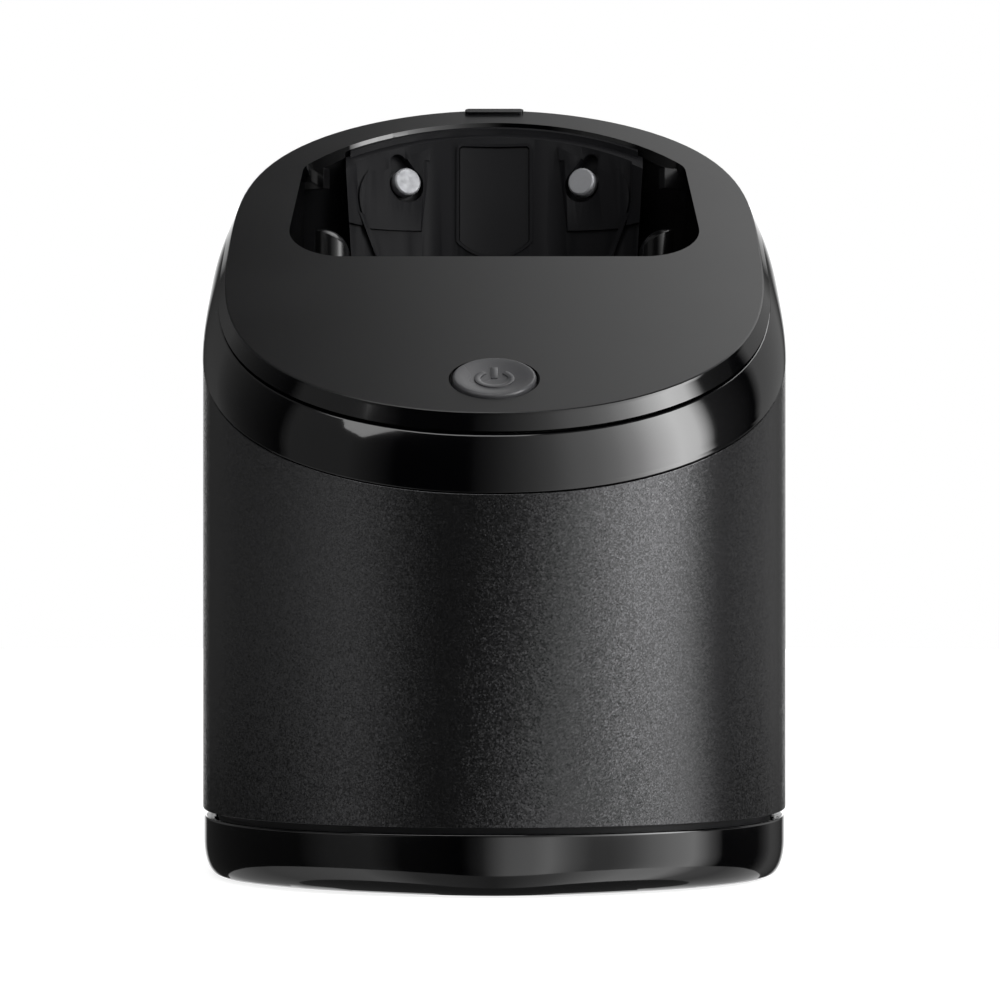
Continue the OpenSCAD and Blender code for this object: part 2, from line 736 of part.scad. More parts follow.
// Outline of the raised panel round a contact
module panel_plan() intersection() {
    polygon([[16.3, -8.6], [31, -10.2], [31, 3.9], [25, 3.9], [21.5, 7], [14.3, 11.3]]);
    union() {
        translate([18.5, -2.8]) circle(r = 11.5);
        translate([10, -12]) square([14, 26]);
    }
}

// Outline of the inlay plate: straight sides, small upper corners and one wide arc below
module inlay_plan(grow) {
    half = inlay_half_w + grow;
    translate([-half, -7]) square([2 * half, inlay_top + 7 - 0.8]);
    translate([-half + 0.8 + grow, -7]) square([2 * (inlay_half_w - 0.8), inlay_top + 7 + grow]);
    for (x = [-1, 1]) translate([x * (inlay_half_w - 0.8), inlay_top - 0.8]) circle(r = 0.8 + grow);
    intersection() {
        translate([-half, -20]) square([2 * half, 14]);
        translate([0, -2.4]) circle(r = 11 + grow);
    }
}

module inlay_plate() color([0.07, 0.07, 0.07]) intersection() {
    hollow_wall(-0.1, 0.85);
    through_face() inlay_plan(0);
}

module contact_barrel(side) color("goldenrod") on_contact(side)
    translate([0, 0, -barrel_front - barrel_l])
    tube(barrel_r, stem_r + 0.05, barrel_l);
module contact_barrel_left() contact_barrel(-1);
module contact_barrel_right() contact_barrel(1);

// Charging contact: a round nickel head on a stem that runs in the barrel
module contact_pin(side) color("lightgray") on_contact(side) {
    translate([0, 0, -contact_head]) cylinder(r = contact_d / 2, h = contact_head + 1.3);
    translate([0, 0, 1.3]) cylinder(r1 = contact_d / 2, r2 = contact_d / 2 - 0.35, h = 0.35);
    translate([0, 0, -contact_board_depth + contact_travel + 0.2])
        cylinder(r = stem_r, h = contact_board_depth - contact_travel - 0.3);
}
module contact_pin_left() contact_pin(-1);
module contact_pin_right() contact_pin(1);

module contact_board() color("darkgreen") mirrored() on_contact(1)
    translate([-4, -5, -contact_board_depth - 1]) cube([8, 10, 1]);

// Main circuit board, flat over the deck
board_lift = 4;
board_z = deck_z + deck_t + board_lift;
function board_places() = [[17, -40], [42, -40], [17, -9.5], [42, -9.5]];

module main_board() color("darkgreen") difference() {
    translate([13.5, -43.5, board_z + 0.01]) cube([32, 37.5, 1.6]);
    for (p = board_places()) translate([p[0], p[1], board_z - 1]) cylinder(r = 1.3, h = 5);
}

// Start board, parallel to the cap
start_board_plane = cap_top - (switch_drop + 4.8) / cos(slope);
module start_board() color("darkgreen") on_slope(button_y, start_board_plane) difference() {
    translate([-12, -8, 0.02]) cube([24, 16, 1.6]);
    for (x = [-8.5, 8.5]) translate([x, 0, -1]) cylinder(r = 1.3, h = 4);
}

module start_switch() color("black") on_slope(button_y, start_board_plane) translate([0, 0, 1.65]) {
    translate([-3, -3, 0]) cube([6, 6, 3.1]);
    translate([0, 0, 3]) cylinder(r = 1.7, h = 1.3);
}

module pump_motor() color("silver") translate([pump_x, pump_y, motor_z]) {
    difference() {
        cylinder(r = motor_r, h = motor_h);
        translate([0, 0, -1]) cylinder(r = 1.06, h = motor_h - 2);
    }
    translate([0, 0, motor_h - 0.1]) cylinder(r = 4, h = 2);
}

module motor_sleeve() color([0.1, 0.1, 0.1]) translate([pump_x, pump_y, deck_z + 2.25]) difference() {
    cylinder(r = motor_r + 1.4, h = 11);
    translate([0, 0, 2.2]) cylinder(r = motor_r + 0.05, h = 12);
    translate([0, 0, -1]) cylinder(r = 3.5, h = 5);
}

module pump_housing() color("dimgray") difference() {
    union() {
        translate([pump_x, pump_y, pump_z]) cylinder(r = pump_r, h = pump_h);
        // Outlet arm towards the delivery hose
        translate([delivery_x, delivery_y, pump_z]) cylinder(r = 5, h = pump_h);
        translate([pump_x, pump_y, pump_z]) rotate([0, 0, arm_angle]) translate([0, -3.5, 0])
            cube([arm_l, 7, pump_h]);
    }
    translate([pump_x, pump_y, pump_z + 2]) cylinder(r = pump_r - 2.2, h = pump_h - 4.2);
    translate([pump_x, pump_y, pump_z - 1]) cylinder(r = suction_r + 0.05, h = 4);
    translate([pump_x, pump_y, pump_z + 3]) cylinder(r = 1.06, h = 10);
    translate([delivery_x, delivery_y, pump_z + 2]) cylinder(r = delivery_r + 0.05, h = 10);
    translate([pump_x, pump_y, pump_z + 2]) rotate([0, 0, arm_angle]) translate([0, -1.5, 0])
        cube([arm_l, 3, pump_h - 4.2]);
}

module pump_shaft() color("silver") translate([pump_x, pump_y, pump_z + 3.1])
    cylinder(r = 1, h = motor_z + motor_h - pump_z - 8);

module pump_impeller() color("ivory") translate([pump_x, pump_y, pump_z + 2.4]) {
    difference() {
        union() {
            cylinder(r = 11.6, h = 0.9);
            cylinder(r = 2.6, h = 3.4);
            for (f = [0:60:300]) rotate(f) intersection() {
                translate([2, -6.8, 0.5]) tube(7.4, 6.5, 2.9);
                translate([0, -2, 0]) cube([11.4, 12, 6]);
                cylinder(r = 11.4, h = 6);
            }
        }
        translate([0, 0, 0.65]) cylinder(r = 1, h = 4);
    }
}

module suction_tube() color("dimgray") translate([pump_x, pump_y, suction_end]) {
    difference() {
        cylinder(r = suction_r, h = pump_z + 1.9 - suction_end);
        translate([0, 0, -1]) cylinder(r = suction_r - 1.1, h = 60);
        for (f = [0:90:270]) rotate(f) translate([0, 0, 0]) rotate([0, 90, 0]) cylinder(r = 1.2, h = 6);
    }
}

// Hose from the pump up to the bowl: straight up, one bend, then back to the bowl
module hose(r, over_end) {
    translate([delivery_x, delivery_y, hose_foot - over_end])
        cylinder(r = r, h = delivery_z - hose_bend - hose_foot + over_end + 0.01);
    translate([delivery_x, delivery_y + hose_bend, delivery_z - hose_bend]) rotate([90, 0, 90])
        rotate_extrude(angle = 90, start = 90) translate([hose_bend, 0]) circle(r = r);
    translate([delivery_x, delivery_y + hose_bend - 0.01, delivery_z]) rotate([-90, 0, 0])
        cylinder(r = r, h = hose_reach + over_end + 0.01);
}

module delivery_tube() color("lightgray") difference() {
    hose(delivery_r, 0);
    hose(delivery_r - 0.9, 1);
}

module drain_spout() color("dimgray") difference() {
    union() {
        translate([0, drain_y, basin_z - bowl_wall - 2.1]) cylinder(r = drain_r + 4, h = 2);
        translate([0, drain_y, drain_end]) cylinder(r = drain_r, h = basin_z - bowl_wall - 1 - drain_end);
    }
    translate([0, drain_y, drain_end - 1]) cylinder(r = drain_r - 1.4, h = 60);
}

module power_socket() color("black") difference() {
    union() {
        translate([-inlet_half_w - 1.2, half_d - inlet_depth - 3.2, inlet_z - inlet_h / 2 - 1.2])
            cube([2 * inlet_half_w + 2.4, inlet_depth + 2.4, inlet_h + 2.4]);
        translate([-inlet_half_w - 3.5, half_d - wall - 3.1, inlet_z - inlet_h / 2 - 3.5])
            cube([2 * inlet_half_w + 7, 2, inlet_h + 7]);
    }
    translate([0, half_d - inlet_depth - 1, inlet_z]) rotate([-90, 0, 0])
        linear_extrude(20) pill(inlet_half_w - inlet_h / 2 + 0.8, inlet_h / 2 - 0.8);
    for (x = [-2.6, 2.6]) translate([x, half_d - 14, inlet_z]) rotate([-90, 0, 0])
        cylinder(r = 0.8, h = 8);
}

module socket_pins() color("silver") for (x = [-2.6, 2.6]) translate([x, half_d - 16, inlet_z])
    rotate([-90, 0, 0]) {
    cylinder(r = 0.79, h = 10.4);
    translate([0, 0, 10.3]) cylinder(r1 = 0.79, r2 = 0.4, h = 0.6);
}

// Return springs of the release button, drawn at their pressed length
module release_springs() color("gray") for (side = [-1, 1])
    translate([side * release_spring_x, slider_y - release_travel - release_spring_h - 0.05,
        slider_foot + 5])
        rotate([-90, 0, 0]) coil(release_spring_r, release_wire, release_spring_h, release_turns);

module release_button() color([0.1, 0.1, 0.1]) {
    intersection() {
        translate([0, half_d - 5, release_z]) rotate([-90, 0, 0]) linear_extrude(8)
            pill(release_half_w, release_r);
        translate([0, 0, release_z - 20]) linear_extrude(40) difference() {
            plan(-0.4);
            plan(1.9);
        }
    }
    for (x = [-7, 7]) translate([x - 1, slider_y + slider_t + 0.02, release_z - 4]) cube([2, 3.9, 8]);
}

// Slider behind the release button: plate, arm, and a leg that ends in the latch hook
module latch_slider() color("dimgray") {
    translate([-10, slider_y, slider_foot]) cube([20, slider_t, 22]);
    translate([-10, slider_y, slider_foot]) cube([10 + leg_x + leg_w / 2, slider_t, 8]);
    translate([leg_x - leg_w / 2, slider_y, leg_jog]) cube([leg_w, slider_t, slider_foot + 8 - leg_jog]);
    translate([leg_x - leg_w / 2, leg_y, leg_jog]) cube([leg_w, slider_y + slider_t - leg_y, 2]);
    translate([leg_x - leg_w / 2, leg_y, hook_z - 1]) cube([leg_w, slider_t, leg_jog + 2 - hook_z]);
    // Hook, drawn just clear of its window in the catch
    translate([leg_x - leg_w / 2, leg_y, hook_z - 1]) cube([leg_w, catch_y - 0.15 - leg_y, 2.4]);
}

module chassis_screws() color("silver") for (x = [-1, 1]) for (y = [-1, 1])
    translate([x * boss_x, y * boss_y, deck_z + deck_t]) screw(10);

module board_screws() color("silver") {
    for (p = board_places()) translate([p[0], p[1], board_z + 1.62]) small_screw(5);
    mirrored() on_slope(button_y, start_board_plane) translate([8.5, 0, 1.64]) small_screw(5);
}

module start_button() color([0.14, 0.14, 0.14]) on_slope(button_y, cap_top) difference() {
    union() {
        translate([0, 0, -3]) cylinder(r = button_d / 2, h = 2.7 + button_proud);
        translate([0, 0, button_proud - 0.3])
            cylinder(r1 = button_d / 2, r2 = button_d / 2 - 0.35, h = 0.3);
        translate([0, 0, -3.4]) cylinder(r = button_d / 2 + 1.6, h = 0.6);
        translate([0, 0, -switch_drop + 2]) cylinder(r = 2, h = switch_drop - 2.5);
    }
    // Hollow for the finger tip
    translate([0, 0, button_proud + 45.4]) sphere(r = 46, $fn = 96);
}

base_ring();
base_tray();
rubber_feet();
catch_bracket();
guide_post_left();
guide_post_right();
lift_spring_left();
lift_spring_right();
cartridge_tank();
cartridge_lid();
cartridge_filter();
base_screws();
outer_shell();
collar();
top_cap();
inner_chassis();
guide_bush_left();
guide_bush_right();
wash_bowl();
bowl_seal();
cradle();
inlay_plate();
contact_barrel_left();
contact_barrel_right();
contact_board();
main_board();
start_board();
start_switch();
pump_motor();
motor_sleeve();
pump_housing();
suction_tube();
delivery_tube();
drain_spout();
power_socket();
socket_pins();
release_springs();
chassis_screws();
board_screws();
start_button();
release_button();
latch_slider();
contact_pin_left();
contact_pin_right();
pump_shaft();
pump_impeller();
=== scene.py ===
# %% [markdown]
# # A shaver cleaning station
#
# The object is a tall oval housing that stands on a glossy base. A gloss collar and a satin cap
# close it with a slope that rises to the back. The cap has a D-shaped opening for the shaver and
# a round start button. The cells below load the solid model, give each piece the surface of its
# real material, and light it like a product photograph on white.

# %% Load the frame
import json
import math

import bmesh
import bpy
from mathutils import Matrix, Vector

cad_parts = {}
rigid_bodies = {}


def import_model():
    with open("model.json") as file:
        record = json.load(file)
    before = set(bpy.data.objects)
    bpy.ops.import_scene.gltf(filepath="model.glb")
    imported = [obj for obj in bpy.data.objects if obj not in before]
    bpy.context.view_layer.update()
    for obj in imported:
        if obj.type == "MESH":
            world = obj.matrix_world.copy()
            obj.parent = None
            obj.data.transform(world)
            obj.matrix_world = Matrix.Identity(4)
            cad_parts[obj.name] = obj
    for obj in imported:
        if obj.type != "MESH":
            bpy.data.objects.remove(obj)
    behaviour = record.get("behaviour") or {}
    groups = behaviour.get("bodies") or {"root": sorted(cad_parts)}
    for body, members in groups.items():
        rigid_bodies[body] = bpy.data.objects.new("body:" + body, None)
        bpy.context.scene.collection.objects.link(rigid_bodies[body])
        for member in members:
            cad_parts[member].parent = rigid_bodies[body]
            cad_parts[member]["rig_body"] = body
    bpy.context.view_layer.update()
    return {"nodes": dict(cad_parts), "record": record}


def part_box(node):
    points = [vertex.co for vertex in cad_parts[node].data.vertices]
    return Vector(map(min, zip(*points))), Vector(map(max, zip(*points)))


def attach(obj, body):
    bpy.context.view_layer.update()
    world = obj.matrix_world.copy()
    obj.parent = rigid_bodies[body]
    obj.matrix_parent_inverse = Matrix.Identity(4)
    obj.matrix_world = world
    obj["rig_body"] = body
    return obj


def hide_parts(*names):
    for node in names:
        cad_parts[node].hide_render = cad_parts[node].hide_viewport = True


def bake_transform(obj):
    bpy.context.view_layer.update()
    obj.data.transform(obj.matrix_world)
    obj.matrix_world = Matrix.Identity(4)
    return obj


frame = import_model()
nodes = frame["nodes"]
MM = 0.001

# %% [markdown]
# ## Small helpers
#
# Colours are written as they look on a screen and turned into linear light once. A shader node
# is added with its settings in one line, so that each material below reads as a recipe.

# %% Helpers for colours and shaders
COAT_ROUGHNESS = 0.03
PATCH_MM = 22


def linear(hex_colour, alpha=1.0):
    parts = [int(hex_colour[i:i + 2], 16) / 255 for i in (0, 2, 4)]
    return [c / 12.92 if c <= 0.04045 else ((c + 0.055) / 1.055) ** 2.4 for c in parts] + [alpha]


def add(tree, kind, links=None, **settings):
    """Adds one shader node. settings are sockets or properties, links are {input: output socket}."""
    made = tree.nodes.new(kind)
    for name, value in settings.items():
        socket = made.inputs.get(name.replace("_", " "))
        if socket is None:
            setattr(made, name, value)
        else:
            socket.default_value = value
    for name, output in (links or {}).items():
        tree.links.new(output, made.inputs[name])
    return made


def new_material(name):
    made = bpy.data.materials.new(name)
    made.use_nodes = True
    tree = made.node_tree
    tree.nodes.clear()
    surface = add(tree, "ShaderNodeBsdfPrincipled")
    add(tree, "ShaderNodeOutputMaterial", {"Surface": surface.outputs[0]})
    place = add(tree, "ShaderNodeTexCoord").outputs["Object"]
    return made, tree, surface, place


def moulding(name, colour, roughness, grain_mm, depth_mm, mottle=0.0, coat=0.0, shine=0.5):
    """An injection moulding: its colour, the grain that its mould leaves, and broad uneven patches."""
    made, tree, surface, place = new_material(name)
    surface.inputs["Base Color"].default_value = linear(colour)
    surface.inputs["Specular IOR Level"].default_value = shine
    surface.inputs["Coat Weight"].default_value = coat
    surface.inputs["Coat Roughness"].default_value = COAT_ROUGHNESS
    grain = add(tree, "ShaderNodeTexNoise", {"Vector": place}, Scale=1 / (grain_mm * MM), Detail=3.0)
    broad = add(tree, "ShaderNodeTexNoise", {"Vector": place}, Scale=1 / (PATCH_MM * MM), Detail=2.0)
    rough = add(tree, "ShaderNodeMapRange", {"Value": broad.outputs[0]}, From_Min=0.3, From_Max=0.7,
                To_Min=roughness * (1 - mottle), To_Max=roughness * (1 + mottle))
    tree.links.new(rough.outputs[0], surface.inputs["Roughness"])
    bump = add(tree, "ShaderNodeBump", {"Height": grain.outputs[0]}, Distance=depth_mm * MM, Strength=1.0)
    tree.links.new(bump.outputs[0], surface.inputs["Normal"])
    return made


print("helpers ready")

# %% [markdown]
# ## Materials
#
# The shell is moulded plastic with an anthracite paint. Fine aluminium flakes lie in the paint at
# slightly different tilts and tones, so each one glints on its own. The collar and the base band
# are gloss black: plain plastic under a clear lacquer. The cap is the same plastic from a
# spark-eroded mould, which leaves an even satin. What is made inside the station is guessed.

# %% Painted shell with metal flakes
# A real flake is 0.02 to 0.05 mm across. They are drawn 0.25 mm wide here, or they would not show.
FLAKE_MM = 0.25
FLAKE_TILT = 0.12
FLAKE_DARKEST = 0.7
FLAKE_BRIGHTEST = 1.3


def flake_paint():
    """Metallic paint. Its cells are flakes, each with its own tilt and its own share of the colour."""
    made, tree, surface, place = new_material("anthracite_flake_paint")
    flakes = add(tree, "ShaderNodeTexVoronoi", {"Vector": place}, Scale=1 / (FLAKE_MM * MM))
    tilt = add(tree, "ShaderNodeVectorMath", {0: flakes.outputs["Color"]}, operation="SUBTRACT")
    tilt.inputs[1].default_value = (0.5, 0.5, 0.5)
    spread = add(tree, "ShaderNodeVectorMath", {0: tilt.outputs[0]}, operation="SCALE", Scale=FLAKE_TILT)
    facing = add(tree, "ShaderNodeNewGeometry").outputs["Normal"]
    turned = add(tree, "ShaderNodeVectorMath", {0: facing, 1: spread.outputs[0]}, operation="ADD")
    unit = add(tree, "ShaderNodeVectorMath", {0: turned.outputs[0]}, operation="NORMALIZE")
    share = add(tree, "ShaderNodeSeparateColor", {"Color": flakes.outputs["Color"]}).outputs[1]
    tone = add(tree, "ShaderNodeMapRange", {"Value": share}, From_Min=0.0, From_Max=1.0,
               To_Min=FLAKE_DARKEST, To_Max=FLAKE_BRIGHTEST)
    colour = add(tree, "ShaderNodeMix", data_type="RGBA", blend_type="MULTIPLY", Factor=1.0)
    colour.inputs[6].default_value = linear("4e4e4f")
    tree.links.new(tone.outputs[0], colour.inputs[7])
    tree.links.new(colour.outputs[2], surface.inputs["Base Color"])
    surface.inputs["Metallic"].default_value = 0.95
    surface.inputs["Roughness"].default_value = 0.24
    tree.links.new(unit.outputs[0], surface.inputs["Normal"])
    return made


paint = flake_paint()
print(paint.name)

# %% Gloss and satin mouldings
finish = {
    "shell_paint": paint,
    # Clear lacquer over black plastic: sharp mirror images of the studio, and no colour of its own.
    "base_gloss": moulding("gloss_black_band", "040405", 0.08, 8.0, 0.0006, 0.2, coat=1.0),
    "collar_gloss": moulding("gloss_black_lacquer", "040405", 0.07, 8.0, 0.0006, 0.2, coat=1.0),
    # Spark-eroded satin: the light overhead becomes one broad soft sheen.
    "cap_satin": moulding("satin_spark_eroded", "151516", 0.29, 0.25, 0.004, 0.05),
    # The same satin in grey plastic, so that the button stands out from the cap. Part of its lightness is
    # painted sheen, which stands in for the brighter sheen the button throws.
    "button_satin": moulding("satin_button_painted_sheen", "505052", 0.27, 0.25, 0.004, 0.05),
    # Polished mould: the wash bowl looks wet and throws small highlights out of the dark.
    "bowl_gloss": moulding("gloss_black_bowl", "0c0c0d", 0.22, 4.0, 0.002, 0.2, coat=0.2),
    # Fine matt grain: the cradle stays dark, and its ribs show by shade alone.
    "cradle_plastic": moulding("fine_matt_cradle", "19191b", 0.46, 0.3, 0.006, 0.1, shine=0.1),
    # A little smoother than the cradle, so that the inlay parts from it.
    "inlay_gloss": moulding("satin_inlay", "141416", 0.40, 0.25, 0.003, 0.1, shine=0.2),
    # Half gloss: a thin line of light on the edge of the release button.
    "release_gloss": moulding("gloss_release_button", "08080a", 0.18, 3.0, 0.002, 0.2),
    # Dull plastic round the inlet, which keeps the pocket dark.
    "socket_plastic": moulding("matt_socket", "101012", 0.50, 0.3, 0.008, 0.1),
    # Unfinished mouldings that nobody sees in use: flat, a little uneven.
    "inner_plastic": moulding("plain_inner_moulding", "1c1c1f", 0.50, 0.8, 0.010, 0.15),
    # Acetal without pigment: cream coloured, with a waxy sheen.
    "bush_plastic": moulding("natural_acetal", "d9d4c4", 0.38, 0.6, 0.006, 0.1),
    # Dyed polypropylene: a soft blue sheen on the tank's round corners.
    "cartridge_blue": moulding("dark_blue_tank", "1d2f52", 0.34, 1.2, 0.006, 0.15),
    # Plain black moulding: a dull lid that sets off the blue tank.
    "cartridge_lid": moulding("black_cartridge_lid", "141416", 0.40, 0.6, 0.008, 0.15),
    # Rubber: almost no highlight, and a fine dry grain.
    "foot_rubber": moulding("black_foot_rubber", "161616", 0.75, 0.35, 0.02, 0.1),
    "seal_rubber": moulding("soft_black_seal", "1a1a1a", 0.65, 0.4, 0.015, 0.1),
    # Silicone hose: pale and milky. It is drawn opaque.
    "hose_rubber": moulding("milky_silicone", "d4d4ce", 0.40, 0.9, 0.008, 0.1),
    # Solder mask: thin green varnish that shines over the board's weave.
    "board": moulding("green_solder_mask", "134a2a", 0.30, 1.5, 0.010, 0.2, coat=0.2),
}
print(len(finish), "mouldings")

# %% [markdown]
# ## Metals
#
# The charging contacts are nickel plate. The photograph shows them pale and soft rather than
# mirror bright, as if dulled by use, so only part of their shine is that of metal. Springs, posts
# and screws are plain or zinc-plated steel.

# %% Metals
def metal(name, colour, roughness, line_mm, squash, depth_mm, share=1.0):
    """Metal with fine marks of the given spacing. squash below 1 draws them out along that axis."""
    made, tree, surface, place = new_material(name)
    surface.inputs["Base Color"].default_value = linear(colour)
    surface.inputs["Metallic"].default_value = share
    stretched = add(tree, "ShaderNodeMapping", {"Vector": place}, Scale=squash)
    lines = add(tree, "ShaderNodeTexNoise", {"Vector": stretched.outputs[0]}, Scale=1 / (line_mm * MM),
                Detail=4.0)
    rough = add(tree, "ShaderNodeMapRange", {"Value": lines.outputs[0]}, From_Min=0.3, From_Max=0.7,
                To_Min=roughness * 0.75, To_Max=roughness * 1.3)
    tree.links.new(rough.outputs[0], surface.inputs["Roughness"])
    bump = add(tree, "ShaderNodeBump", {"Height": lines.outputs[0]}, Distance=depth_mm * MM, Strength=1.0)
    tree.links.new(bump.outputs[0], surface.inputs["Normal"])
    return made


finish.update({
    # Dulled nickel plate: two pale discs that catch the light in the dark opening.
    "contact_nickel": metal("bright_nickel", "a8a9ac", 0.50, 0.8, (1, 1, 1), 0.0006, share=0.4),
    # Ground steel: marks along the posts draw long upright highlights.
    "steel": metal("ground_steel", "b8b9bc", 0.26, 0.3, (1, 1, 0.1), 0.003),
    # Drawn spring wire: grey, with a short glint on every turn.
    "spring_steel": metal("spring_wire", "9a9a9e", 0.34, 0.4, (1, 1, 1), 0.003),
    # Zinc plate: a bright, slightly cloudy grey on screws and on the motor's can.
    "screw_steel": metal("zinc_plate", "b4b6ba", 0.32, 0.5, (1, 1, 1), 0.004),
    "motor_can": metal("zinc_motor_can", "b0b2b6", 0.30, 0.4, (1, 1, 0.15), 0.004),
})
print(len(finish), "finishes in all")

# %% [markdown]
# ## Every piece takes its finish
#
# Inner pieces keep the solid model's own mesh, apart from the springs. The pieces in view are
# shown by copies whose
# triangles are merged back into clean faces, so that their edges can take the small radius that
# every moulded edge has. That radius is what catches the light. The collar, the cap and the base
# ring curve two ways at once, so their triangles are only paired into four-sided faces.

# %% Assign finishes
slots = {piece["node"]: piece["material_slot"] for piece in frame["record"]["subparts"]}
for name, piece in nodes.items():
    piece.data.materials.clear()
    piece.data.materials.append(finish[slots[name]])
print(len(slots), "pieces have their finish")

# %% Rounded copies of what is in view
WELD_WITHIN = 0.002 * MM
FLAT_WITHIN = math.radians(0.6)
LOFT_FLAT_WITHIN = math.radians(0.05)
LOFT_PAIR_WITHIN = math.radians(4)
LOFT_PAIR_SHAPE = math.radians(60)


def rounded_copy(name, radius_mm, segments=2, sharp_deg=32.0, loft=False):
    """A copy of a node with merged faces, smooth curves and rounded edges, shown in its place."""
    body = nodes[name]["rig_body"]
    mesh = nodes[name].data.copy()
    work = bmesh.new()
    work.from_mesh(mesh)
    bmesh.ops.remove_doubles(work, verts=work.verts, dist=WELD_WITHIN)
    bmesh.ops.dissolve_limit(work, angle_limit=LOFT_FLAT_WITHIN if loft else FLAT_WITHIN,
                             verts=work.verts, edges=work.edges)
    if loft:
        bmesh.ops.join_triangles(work, faces=work.faces, angle_face_threshold=LOFT_PAIR_WITHIN,
                                 angle_shape_threshold=LOFT_PAIR_SHAPE)
    bmesh.ops.recalc_face_normals(work, faces=work.faces)
    for face in work.faces:
        face.smooth = True
    work.to_mesh(mesh)
    work.free()
    mesh.set_sharp_from_angle(angle=math.radians(sharp_deg))
    copy = bpy.data.objects.new(name + "_finished", mesh)
    bpy.context.scene.collection.objects.link(copy)
    if radius_mm:
        bevel = copy.modifiers.new("edge_radius", "BEVEL")
        bevel.width = radius_mm * MM
        bevel.segments = segments
        bevel.limit_method = "ANGLE"
        bevel.angle_limit = math.radians(sharp_deg)
        bevel.harden_normals = True
    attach(copy, body)
    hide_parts(name)
    return copy


# Edge radius in millimetres, and for the lofts also the angle from which an edge stays crisp.
ROUNDED = {"outer_shell": 0.15, "base_tray": 0.0, "cradle": 0.15, "inlay_plate": 0.12, "wash_bowl": 0.12,
           "start_button": 0.12, "contact_pin_left": 0.12, "contact_pin_right": 0.12,
           "release_button": 0.25, "power_socket": 0.2}
LOFTS = {"collar": (0.3, 30.0), "top_cap": (0.12, 20.0), "base_ring": (0.12, 14.0)}
shown = {name: rounded_copy(name, radius) for name, radius in ROUNDED.items()}
shown.update({name: rounded_copy(name, radius, sharp_deg=sharp, loft=True)
              for name, (radius, sharp) in LOFTS.items()})
print(len(shown), "rounded copies")

# %% [markdown]
# ## The cap's two finishes
#
# Only the face of the cap is satin. Its edge all round, and the cut wall of its opening, are left
# as bright as the collar below. One mould makes both, so one piece takes two materials, and the
# tilt of each face of the mesh says which it gets.

# %% Satin face, gloss edge
SLOPE = math.radians(29.4)
FACES_UP = 0.8
cap_up = Vector((0, -math.sin(SLOPE), math.cos(SLOPE)))
cap_mesh = shown["top_cap"].data
cap_mesh.materials.append(finish["collar_gloss"])
for face in cap_mesh.polygons:
    face.material_index = 0 if face.normal.dot(cap_up) > FACES_UP else 1
print(sum(face.material_index for face in cap_mesh.polygons), "gloss faces on the cap")

# %% [markdown]
# ## Power symbol on the start button
#
# The button carries a ring with a gap and a bar through the gap, raised a quarter of a
# millimetre from its hollow. A small square section is spun about the button's axis for the ring,
# and a thin block makes the bar. Both are then lifted to follow the hollow of the button.

# %% Power symbol
BUTTON_AHEAD = 53
CAP_HEIGHT = 128.9
BUTTON_AT = Vector((0, -BUTTON_AHEAD * MM, (CAP_HEIGHT - BUTTON_AHEAD * math.tan(SLOPE)) * MM))
HOLLOW_RADIUS = 46 * MM
RING_RADIUS = 3.3 * MM
STROKE = 1.2 * MM
RELIEF = 0.25 * MM
ROOT = 0.3 * MM
GAP_HALF = math.radians(35)
BAR_WIDTH = 1.35 * MM
BAR_LENGTH = 4.2 * MM
BAR_AT = 2.5 * MM
FORWARD = 0.5 * MM
EDGE = 0.08 * MM
CRISP = 0.9

work = bmesh.new()
section = bmesh.ops.create_grid(work, x_segments=2, y_segments=1, size=0.5)["verts"]
bmesh.ops.scale(work, verts=section, vec=(STROKE, RELIEF + ROOT, 1))
bmesh.ops.rotate(work, verts=section, cent=(0, 0, 0), matrix=Matrix.Rotation(math.radians(90), 3, "X"))
bmesh.ops.translate(work, verts=section, vec=(RING_RADIUS, 0, (RELIEF - ROOT) / 2))
bmesh.ops.rotate(work, verts=section, cent=(0, 0, 0),
                 matrix=Matrix.Rotation(math.radians(90) + GAP_HALF, 3, "Z"))
bmesh.ops.spin(work, geom=work.verts[:] + work.edges[:] + work.faces[:], cent=(0, 0, 0), axis=(0, 0, 1),
               angle=2 * math.pi - 2 * GAP_HALF, steps=48)
bar = bmesh.ops.create_cube(work, size=1.0)["verts"]
bmesh.ops.scale(work, verts=bar, vec=(BAR_WIDTH, BAR_LENGTH, RELIEF + ROOT))
bmesh.ops.translate(work, verts=bar, vec=(0, BAR_AT, (RELIEF - ROOT) / 2))
open_edges = [edge for edge in work.edges if edge.is_boundary]
bmesh.ops.holes_fill(work, edges=open_edges, sides=0)
# A cut across the bar gives it a row of points that can follow the hollow.
bmesh.ops.bisect_plane(work, geom=work.verts[:] + work.edges[:] + work.faces[:],
                       plane_co=(0, BAR_AT, 0), plane_no=(0, 1, 0))
for vert in work.verts:
    vert.co.y -= FORWARD
    vert.co.z += (vert.co.x ** 2 + vert.co.y ** 2) / (2 * HOLLOW_RADIUS)
bmesh.ops.transform(work, verts=work.verts,
                    matrix=Matrix.Translation(BUTTON_AT) @ Matrix.Rotation(SLOPE, 4, "X"))
bmesh.ops.recalc_face_normals(work, faces=work.faces)
crisp_edges = [edge for edge in work.edges if len(edge.link_faces) == 2 and edge.calc_face_angle() > CRISP]
bmesh.ops.bevel(work, geom=crisp_edges, offset=EDGE, segments=2, profile=0.5, affect="EDGES", material=-1)
print("power symbol:", len(work.faces), "faces,", sum(edge.is_boundary for edge in work.edges), "open edges")
symbol_mesh = bpy.data.meshes.new("power_symbol")
work.to_mesh(symbol_mesh)
work.free()
for face in symbol_mesh.polygons:
    face.use_smooth = True
symbol_mesh.set_sharp_from_angle(angle=math.radians(40))
symbol_mesh.materials.append(finish["button_satin"])
power_symbol = bpy.data.objects.new("power_symbol", symbol_mesh)
bpy.context.scene.collection.objects.link(power_symbol)
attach(power_symbol, "start_button")
